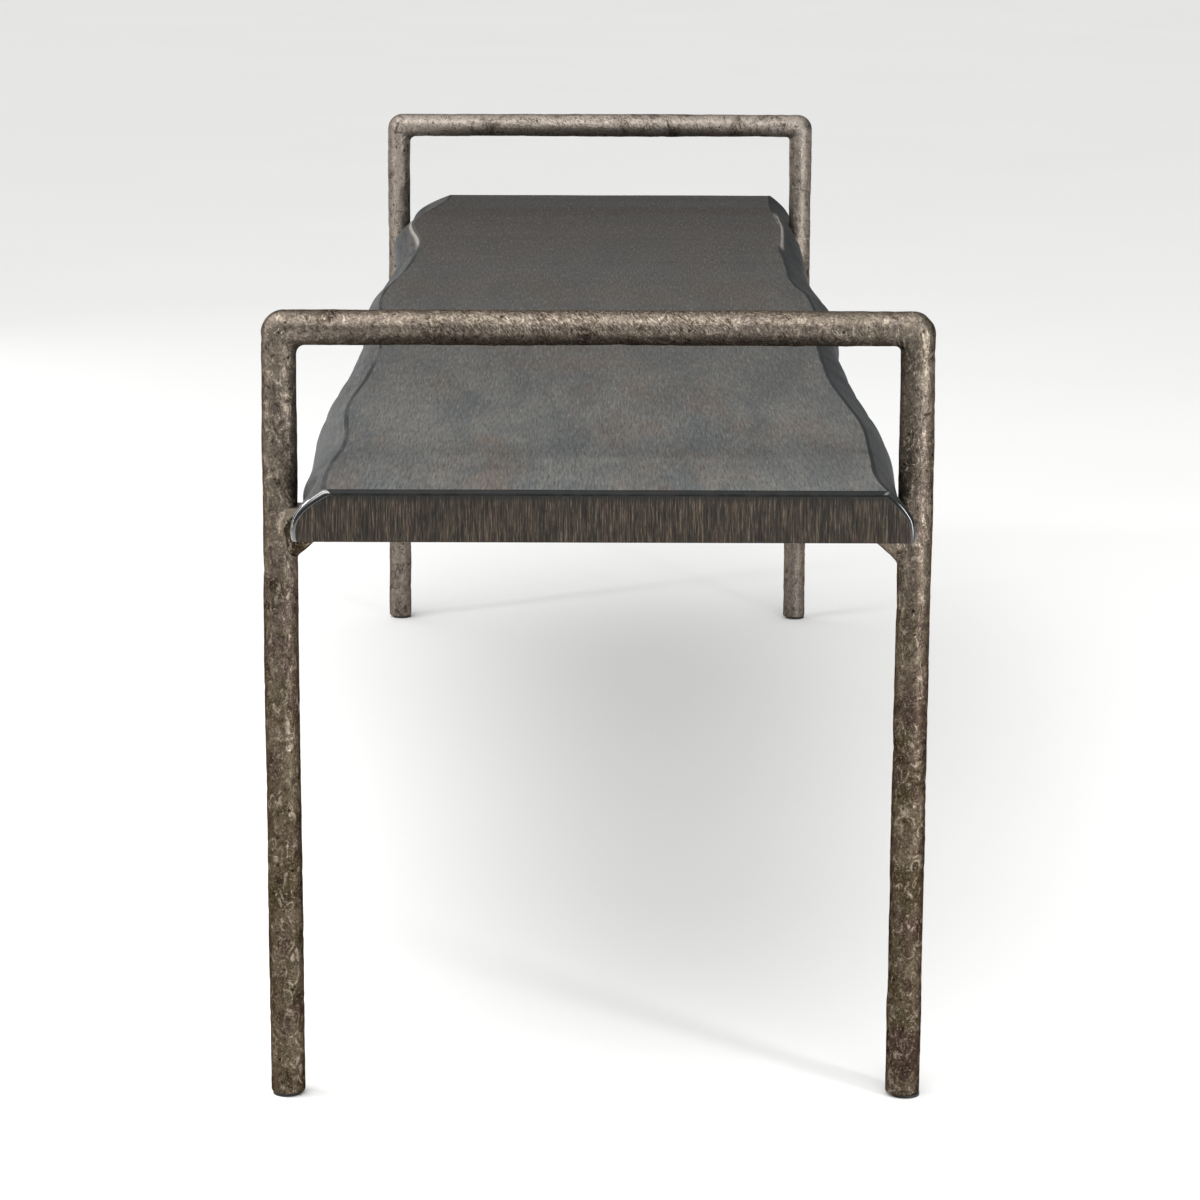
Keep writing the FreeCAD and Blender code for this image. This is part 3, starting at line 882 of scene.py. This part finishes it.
def knee(name, sign, side, side_name, material, seed):
    """A cast bracket between leg and seat bar, rough below and smooth on top."""
    grid = knee_grid(sign, side, side_name)
    below_top = knee_high.z - grid[..., 2]
    rough = np.clip((below_top - KNEE_SMOOTH_TOP) / KNEE_ROUGHENING, 0, 1)
    swell = 0.45 * lumps(grid, 12 * MM, seed) + 0.2 * lumps(grid, 5 * MM, seed + 1)
    grid = grid + grid_normals(grid) * (swell * rough * MM)[..., None]
    count, around = grid.shape[:2]
    points = np.concatenate([grid.reshape(-1, 3), [grid[0].mean(axis=0), grid[-1].mean(axis=0)]])
    faces = tube_faces(count, around) + tube_caps(count, around)
    piece = mesh_object(f"{name}_{side_name}_knee_cast", points, faces, [material])
    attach(piece, "root")
    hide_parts(f"{name}_{side_name}_knee")


# ---- carried-over CAD nodes ----------------------------------------------------------------
def dress(node, material):
    """Gives a CAD node its material."""
    mesh = frame["nodes"][node].data
    mesh.materials.clear()
    mesh.materials.append(material)


def dress_hardware():
    """Materials for the bars, the fastenings and the glides."""
    bars = bar_metal()
    steel = machined("screw_steel", rgb(92, 90, 88), rgb(142, 140, 138))
    brass = machined("insert_brass", rgb(150, 118, 62), rgb(196, 162, 96))
    nylon = glide_nylon()
    for name in HOOPS:
        dress(f"{name}_seat_bar", bars)
        dress(f"{name}_seat_screws", steel)
        dress(f"{name}_seat_washers", steel)
        dress(f"{name}_seat_inserts", brass)
        for side_name in SIDES:
            dress(f"{name}_{side_name}_glide", nylon)


# ---- stage ---------------------------------------------------------------------------------
def floor():
    """A plain pale floor."""
    look = Look("floor_paint")
    soft = look.noise(look.scaled(1.5, 1.5, 1.5), detail=2)
    look.set(Base_Color=look.mix(soft, rgb(238, 238, 237), rgb(242, 242, 241)), Roughness=0.85)
    half = FLOOR_HALF
    corners = [(-half, -half, 0), (half, -half, 0), (half, half, 0), (-half, half, 0)]
    mesh = bpy.data.meshes.new("floor")
    mesh.from_pydata(corners, [], [(0, 1, 2, 3)])
    mesh.materials.append(look.material)
    piece = bpy.data.objects.new("floor", mesh)
    bpy.context.scene.collection.objects.link(piece)


def area_light(name, place, aim, size, power):
    """A soft rectangular light that the camera doesn't see."""
    data = bpy.data.lights.new(name, "AREA")
    data.shape = "RECTANGLE"
    data.size, data.size_y = size
    data.energy = power
    light = bpy.data.objects.new(name, data)
    bpy.context.scene.collection.objects.link(light)
    light.location = place
    light.rotation_euler = (Vector(aim) - Vector(place)).to_track_quat("-Z", "Y").to_euler()
    light.visible_camera = False


def world():
    """Pale where the camera sees it; as light, bright overhead, dim near the horizon and at +Y."""
    scene_world = bpy.data.worlds.new("studio")
    bpy.context.scene.world = scene_world
    scene_world.use_nodes = True
    tree = scene_world.node_tree
    tree.nodes.clear()
    direction = tree.nodes.new("ShaderNodeTexCoord")
    split = tree.nodes.new("ShaderNodeSeparateXYZ")
    tree.links.new(direction.outputs["Generated"], split.inputs[0])
    rise = tree.nodes.new("ShaderNodeMapRange")
    sideways = tree.nodes.new("ShaderNodeMapRange")
    for node, axis, span in ((rise, "Z", WORLD_RISE), (sideways, "Y", WORLD_SIDEWAYS)):
        tree.links.new(split.outputs[axis], node.inputs["Value"])
        for key, value in zip(("From Min", "From Max", "To Min", "To Max"), span):
            node.inputs[key].default_value = value
    strength = tree.nodes.new("ShaderNodeMath")
    strength.operation = "MULTIPLY"
    tree.links.new(rise.outputs[0], strength.inputs[0])
    tree.links.new(sideways.outputs[0], strength.inputs[1])
    lighting = tree.nodes.new("ShaderNodeBackground")
    tree.links.new(strength.outputs[0], lighting.inputs["Strength"])
    seen = tree.nodes.new("ShaderNodeBackground")
    seen.inputs["Color"].default_value = rgb(250, 250, 250)
    path = tree.nodes.new("ShaderNodeLightPath")
    mix = tree.nodes.new("ShaderNodeMixShader")
    output = tree.nodes.new("ShaderNodeOutputWorld")
    tree.links.new(path.outputs["Is Camera Ray"], mix.inputs[0])
    tree.links.new(lighting.outputs[0], mix.inputs[1])
    tree.links.new(seen.outputs[0], mix.inputs[2])
    tree.links.new(mix.outputs[0], output.inputs["Surface"])


def camera():
    """Looks down along the bench from beyond its right end."""
    data = bpy.data.cameras.new("camera")
    data.sensor_width = 36.0
    data.lens = CAMERA_LENS
    data.shift_y = CAMERA_SHIFT
    data.clip_start, data.clip_end = 0.1, 200.0
    seen = bpy.data.objects.new("camera", data)
    bpy.context.scene.collection.objects.link(seen)
    level = Euler((math.pi / 2 - CAMERA_TILT, 0, math.pi / 2)).to_matrix()
    facing = level @ Matrix.Rotation(CAMERA_ROLL, 3, "Z")
    seen.matrix_world = Matrix.Translation(CAMERA_PLACE) @ facing.to_4x4()
    bpy.context.scene.camera = seen


# ---- build ---------------------------------------------------------------------------------
slab()
metals = {
    "right": cast_metal("cast_bronze", wear_low=0.05, wear_high=0.47, rubbed=rgb(130, 122, 114)),
    # partly wear, partly painted light: the left hoop's lighter, more rubbed copy also stands in for
    # the back-left light on it
    "left": cast_metal("cast_bronze_worn_and_lit", wear_low=0.50, wear_high=0.80, rubbed=rgb(164, 155, 146)),
}
# painted shade: a darker copy of the cast metal for the front knees, which sit in shade under the
# slab
painted_shade_metal = cast_metal("cast_bronze_painted_shade", wear_low=0.6, wear_high=0.6, rubbed=rgb(34, 27, 20))
for number, (name, sign) in enumerate(HOOPS.items()):
    hoop(name, sign, metals[name], LEANS[name], HOOP_SEED + 40 * number)
    for side_name, side in SIDES.items():
        metal = painted_shade_metal if side_name == "front" else metals[name]
        knee(name, sign, side, side_name, metal, KNEE_SEED + 20 * number + 5 * side)
dress_hardware()
floor()
world()
for name, settings in LIGHTS.items():
    area_light(name, *settings)
camera()
bpy.context.scene.view_settings.view_transform = "Standard"
